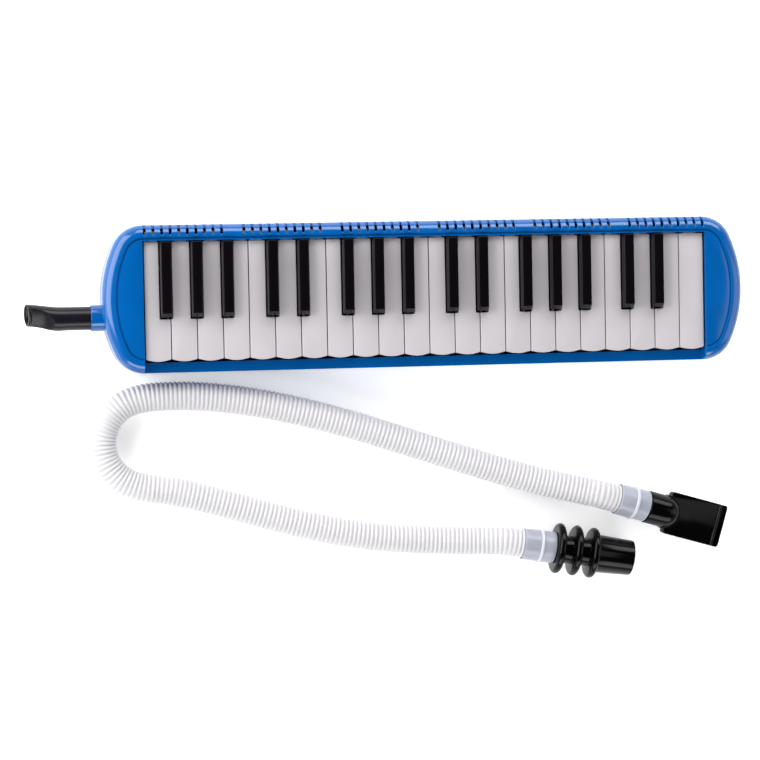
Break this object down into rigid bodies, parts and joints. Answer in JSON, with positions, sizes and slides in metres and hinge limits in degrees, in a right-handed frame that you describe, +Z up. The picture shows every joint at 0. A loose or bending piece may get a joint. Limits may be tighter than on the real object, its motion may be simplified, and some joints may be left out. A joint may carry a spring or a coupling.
{
  "type": "melodica",
  "caption": "Blue melodica with sprung piano keys over a reed chamber, a plug-in short mouthpiece and a corrugated blowing hose with a flat mouthpiece.",
  "frame": {"origin": "middle of the flat underside of the case", "axes": "+X along the keyboard towards the high notes, +Y towards the vented back edge, +Z up"},
  "size_m": [0.4794, 0.2414, 0.04],
  "materials": {
    "case_blue": "semi-gloss moulded plastic",
    "key_white": "satin gloss",
    "key_black": "gloss",
    "mouthpiece_black": "semi-gloss",
    "fitting_black": "gloss",
    "hose_white": "soft satin, corrugated",
    "cuff_frosted": "frosted",
    "inner_plastic": "matte",
    "gasket_rubber": "matte",
    "reed_brass": "milled",
    "spring_steel": "bright",
    "screw_steel": "plated",
    "stop_felt": "felt"
  },
  "bodies": {
    "case": {"top_cover": "case_blue", "bottom_case": "case_blue", "case_screw_1": "screw_steel", "case_screw_2": "screw_steel", "case_screw_3": "screw_steel", "case_screw_4": "screw_steel", "reed_chamber": "inner_plastic", "inlet_neck": "case_blue", "chamber_gasket": "gasket_rubber", "reed_plate": "reed_brass", "valve_board": "inner_plastic", "drain_spring": "spring_steel", "pivot_rod": "spring_steel", "key_frame": "inner_plastic", "spring_comb": "spring_steel", "stop_felt": "stop_felt"},
    "white_key_F3": {"white_key_F3": "key_white"},
    "black_key_Fs3": {"black_key_Fs3": "key_black"},
    "white_key_G3": {"white_key_G3": "key_white"},
    "black_key_Gs3": {"black_key_Gs3": "key_black"},
    "white_key_A3": {"white_key_A3": "key_white"},
    "black_key_As3": {"black_key_As3": "key_black"},
    "white_key_B3": {"white_key_B3": "key_white"},
    "white_key_C4": {"white_key_C4": "key_white"},
    "black_key_Cs4": {"black_key_Cs4": "key_black"},
    "white_key_D4": {"white_key_D4": "key_white"},
    "black_key_Ds4": {"black_key_Ds4": "key_black"},
    "white_key_E4": {"white_key_E4": "key_white"},
    "white_key_F4": {"white_key_F4": "key_white"},
    "black_key_Fs4": {"black_key_Fs4": "key_black"},
    "white_key_G4": {"white_key_G4": "key_white"},
    "black_key_Gs4": {"black_key_Gs4": "key_black"},
    "white_key_A4": {"white_key_A4": "key_white"},
    "black_key_As4": {"black_key_As4": "key_black"},
    "white_key_B4": {"white_key_B4": "key_white"},
    "white_key_C5": {"white_key_C5": "key_white"},
    "black_key_Cs5": {"black_key_Cs5": "key_black"},
    "white_key_D5": {"white_key_D5": "key_white"},
    "black_key_Ds5": {"black_key_Ds5": "key_black"},
    "white_key_E5": {"white_key_E5": "key_white"},
    "white_key_F5": {"white_key_F5": "key_white"},
    "black_key_Fs5": {"black_key_Fs5": "key_black"},
    "white_key_G5": {"white_key_G5": "key_white"},
    "black_key_Gs5": {"black_key_Gs5": "key_black"},
    "white_key_A5": {"white_key_A5": "key_white"},
    "black_key_As5": {"black_key_As5": "key_black"},
    "white_key_B5": {"white_key_B5": "key_white"},
    "white_key_C6": {"white_key_C6": "key_white"},
    "black_key_Cs6": {"black_key_Cs6": "key_black"},
    "white_key_D6": {"white_key_D6": "key_white"},
    "black_key_Ds6": {"black_key_Ds6": "key_black"},
    "white_key_E6": {"white_key_E6": "key_white"},
    "white_key_F6": {"white_key_F6": "key_white"},
    "short_mouthpiece": {"short_mouthpiece": "mouthpiece_black"},
    "drain_button": {"drain_button": "fitting_black"},
    "hose_set": {"hose_tube": "hose_white", "hose_cuff_mouthpiece": "cuff_frosted", "hose_cuff_connector": "cuff_frosted", "hose_mouthpiece": "fitting_black", "hose_connector": "fitting_black"}
  },
  "joints": [
    {"name": "press_F3", "type": "hinge", "parent": "case", "child": "white_key_F3", "pos_m": [0, 0.02, 0.022], "axis": [1, 0, 0], "range_deg": [0, 3.7], "stiffness_Nm_per_rad": 0.25, "springref_deg": -6.88},
    {"name": "press_Fs3", "type": "hinge", "parent": "case", "child": "black_key_Fs3", "pos_m": [0, 0.02, 0.022], "axis": [1, 0, 0], "range_deg": [0, 3.7], "stiffness_Nm_per_rad": 0.25, "springref_deg": -6.88},
    {"name": "press_G3", "type": "hinge", "parent": "case", "child": "white_key_G3", "pos_m": [0, 0.02, 0.022], "axis": [1, 0, 0], "range_deg": [0, 3.7], "stiffness_Nm_per_rad": 0.25, "springref_deg": -6.88},
    {"name": "press_Gs3", "type": "hinge", "parent": "case", "child": "black_key_Gs3", "pos_m": [0, 0.02, 0.022], "axis": [1, 0, 0], "range_deg": [0, 3.7], "stiffness_Nm_per_rad": 0.25, "springref_deg": -6.88},
    {"name": "press_A3", "type": "hinge", "parent": "case", "child": "white_key_A3", "pos_m": [0, 0.02, 0.022], "axis": [1, 0, 0], "range_deg": [0, 3.7], "stiffness_Nm_per_rad": 0.25, "springref_deg": -6.88},
    {"name": "press_As3", "type": "hinge", "parent": "case", "child": "black_key_As3", "pos_m": [0, 0.02, 0.022], "axis": [1, 0, 0], "range_deg": [0, 3.7], "stiffness_Nm_per_rad": 0.25, "springref_deg": -6.88},
    {"name": "press_B3", "type": "hinge", "parent": "case", "child": "white_key_B3", "pos_m": [0, 0.02, 0.022], "axis": [1, 0, 0], "range_deg": [0, 3.7], "stiffness_Nm_per_rad": 0.25, "springref_deg": -6.88},
    {"name": "press_C4", "type": "hinge", "parent": "case", "child": "white_key_C4", "pos_m": [0, 0.02, 0.022], "axis": [1, 0, 0], "range_deg": [0, 3.7], "stiffness_Nm_per_rad": 0.25, "springref_deg": -6.88},
    {"name": "press_Cs4", "type": "hinge", "parent": "case", "child": "black_key_Cs4", "pos_m": [0, 0.02, 0.022], "axis": [1, 0, 0], "range_deg": [0, 3.7], "stiffness_Nm_per_rad": 0.25, "springref_deg": -6.88},
    {"name": "press_D4", "type": "hinge", "parent": "case", "child": "white_key_D4", "pos_m": [0, 0.02, 0.022], "axis": [1, 0, 0], "range_deg": [0, 3.7], "stiffness_Nm_per_rad": 0.25, "springref_deg": -6.88},
    {"name": "press_Ds4", "type": "hinge", "parent": "case", "child": "black_key_Ds4", "pos_m": [0, 0.02, 0.022], "axis": [1, 0, 0], "range_deg": [0, 3.7], "stiffness_Nm_per_rad": 0.25, "springref_deg": -6.88},
    {"name": "press_E4", "type": "hinge", "parent": "case", "child": "white_key_E4", "pos_m": [0, 0.02, 0.022], "axis": [1, 0, 0], "range_deg": [0, 3.7], "stiffness_Nm_per_rad": 0.25, "springref_deg": -6.88},
    {"name": "press_F4", "type": "hinge", "parent": "case", "child": "white_key_F4", "pos_m": [0, 0.02, 0.022], "axis": [1, 0, 0], "range_deg": [0, 3.7], "stiffness_Nm_per_rad": 0.25, "springref_deg": -6.88},
    {"name": "press_Fs4", "type": "hinge", "parent": "case", "child": "black_key_Fs4", "pos_m": [0, 0.02, 0.022], "axis": [1, 0, 0], "range_deg": [0, 3.7], "stiffness_Nm_per_rad": 0.25, "springref_deg": -6.88},
    {"name": "press_G4", "type": "hinge", "parent": "case", "child": "white_key_G4", "pos_m": [0, 0.02, 0.022], "axis": [1, 0, 0], "range_deg": [0, 3.7], "stiffness_Nm_per_rad": 0.25, "springref_deg": -6.88},
    {"name": "press_Gs4", "type": "hinge", "parent": "case", "child": "black_key_Gs4", "pos_m": [0, 0.02, 0.022], "axis": [1, 0, 0], "range_deg": [0, 3.7], "stiffness_Nm_per_rad": 0.25, "springref_deg": -6.88},
    {"name": "press_A4", "type": "hinge", "parent": "case", "child": "white_key_A4", "pos_m": [0, 0.02, 0.022], "axis": [1, 0, 0], "range_deg": [0, 3.7], "stiffness_Nm_per_rad": 0.25, "springref_deg": -6.88},
    {"name": "press_As4", "type": "hinge", "parent": "case", "child": "black_key_As4", "pos_m": [0, 0.02, 0.022], "axis": [1, 0, 0], "range_deg": [0, 3.7], "stiffness_Nm_per_rad": 0.25, "springref_deg": -6.88},
    {"name": "press_B4", "type": "hinge", "parent": "case", "child": "white_key_B4", "pos_m": [0, 0.02, 0.022], "axis": [1, 0, 0], "range_deg": [0, 3.7], "stiffness_Nm_per_rad": 0.25, "springref_deg": -6.88},
    {"name": "press_C5", "type": "hinge", "parent": "case", "child": "white_key_C5", "pos_m": [0, 0.02, 0.022], "axis": [1, 0, 0], "range_deg": [0, 3.7], "stiffness_Nm_per_rad": 0.25, "springref_deg": -6.88},
    {"name": "press_Cs5", "type": "hinge", "parent": "case", "child": "black_key_Cs5", "pos_m": [0, 0.02, 0.022], "axis": [1, 0, 0], "range_deg": [0, 3.7], "stiffness_Nm_per_rad": 0.25, "springref_deg": -6.88},
    {"name": "press_D5", "type": "hinge", "parent": "case", "child": "white_key_D5", "pos_m": [0, 0.02, 0.022], "axis": [1, 0, 0], "range_deg": [0, 3.7], "stiffness_Nm_per_rad": 0.25, "springref_deg": -6.88},
    {"name": "press_Ds5", "type": "hinge", "parent": "case", "child": "black_key_Ds5", "pos_m": [0, 0.02, 0.022], "axis": [1, 0, 0], "range_deg": [0, 3.7], "stiffness_Nm_per_rad": 0.25, "springref_deg": -6.88},
    {"name": "press_E5", "type": "hinge", "parent": "case", "child": "white_key_E5", "pos_m": [0, 0.02, 0.022], "axis": [1, 0, 0], "range_deg": [0, 3.7], "stiffness_Nm_per_rad": 0.25, "springref_deg": -6.88},
    {"name": "press_F5", "type": "hinge", "parent": "case", "child": "white_key_F5", "pos_m": [0, 0.02, 0.022], "axis": [1, 0, 0], "range_deg": [0, 3.7], "stiffness_Nm_per_rad": 0.25, "springref_deg": -6.88},
    {"name": "press_Fs5", "type": "hinge", "parent": "case", "child": "black_key_Fs5", "pos_m": [0, 0.02, 0.022], "axis": [1, 0, 0], "range_deg": [0, 3.7], "stiffness_Nm_per_rad": 0.25, "springref_deg": -6.88},
    {"name": "press_G5", "type": "hinge", "parent": "case", "child": "white_key_G5", "pos_m": [0, 0.02, 0.022], "axis": [1, 0, 0], "range_deg": [0, 3.7], "stiffness_Nm_per_rad": 0.25, "springref_deg": -6.88},
    {"name": "press_Gs5", "type": "hinge", "parent": "case", "child": "black_key_Gs5", "pos_m": [0, 0.02, 0.022], "axis": [1, 0, 0], "range_deg": [0, 3.7], "stiffness_Nm_per_rad": 0.25, "springref_deg": -6.88},
    {"name": "press_A5", "type": "hinge", "parent": "case", "child": "white_key_A5", "pos_m": [0, 0.02, 0.022], "axis": [1, 0, 0], "range_deg": [0, 3.7], "stiffness_Nm_per_rad": 0.25, "springref_deg": -6.88},
    {"name": "press_As5", "type": "hinge", "parent": "case", "child": "black_key_As5", "pos_m": [0, 0.02, 0.022], "axis": [1, 0, 0], "range_deg": [0, 3.7], "stiffness_Nm_per_rad": 0.25, "springref_deg": -6.88},
    {"name": "press_B5", "type": "hinge", "parent": "case", "child": "white_key_B5", "pos_m": [0, 0.02, 0.022], "axis": [1, 0, 0], "range_deg": [0, 3.7], "stiffness_Nm_per_rad": 0.25, "springref_deg": -6.88},
    {"name": "press_C6", "type": "hinge", "parent": "case", "child": "white_key_C6", "pos_m": [0, 0.02, 0.022], "axis": [1, 0, 0], "range_deg": [0, 3.7], "stiffness_Nm_per_rad": 0.25, "springref_deg": -6.88},
    {"name": "press_Cs6", "type": "hinge", "parent": "case", "child": "black_key_Cs6", "pos_m": [0, 0.02, 0.022], "axis": [1, 0, 0], "range_deg": [0, 3.7], "stiffness_Nm_per_rad": 0.25, "springref_deg": -6.88},
    {"name": "press_D6", "type": "hinge", "parent": "case", "child": "white_key_D6", "pos_m": [0, 0.02, 0.022], "axis": [1, 0, 0], "range_deg": [0, 3.7], "stiffness_Nm_per_rad": 0.25, "springref_deg": -6.88},
    {"name": "press_Ds6", "type": "hinge", "parent": "case", "child": "black_key_Ds6", "pos_m": [0, 0.02, 0.022], "axis": [1, 0, 0], "range_deg": [0, 3.7], "stiffness_Nm_per_rad": 0.25, "springref_deg": -6.88},
    {"name": "press_E6", "type": "hinge", "parent": "case", "child": "white_key_E6", "pos_m": [0, 0.02, 0.022], "axis": [1, 0, 0], "range_deg": [0, 3.7], "stiffness_Nm_per_rad": 0.25, "springref_deg": -6.88},
    {"name": "press_F6", "type": "hinge", "parent": "case", "child": "white_key_F6", "pos_m": [0, 0.02, 0.022], "axis": [1, 0, 0], "range_deg": [0, 3.7], "stiffness_Nm_per_rad": 0.25, "springref_deg": -6.88},
    {"name": "mouthpiece_pull", "type": "slide", "parent": "case", "child": "short_mouthpiece", "axis": [-1, 0, 0], "range_m": [0, 0.05]},
    {"name": "drain_press", "type": "slide", "parent": "case", "child": "drain_button", "axis": [0, 0, 1], "range_m": [0, 0.0014], "stiffness_N_per_m": 200, "springref_m": -0.002},
    {"name": "hose_set_lift", "type": "slide", "parent": "case", "child": "hose_set", "axis": [0, 0, 1], "range_m": [0, 0.12]}
  ]
}
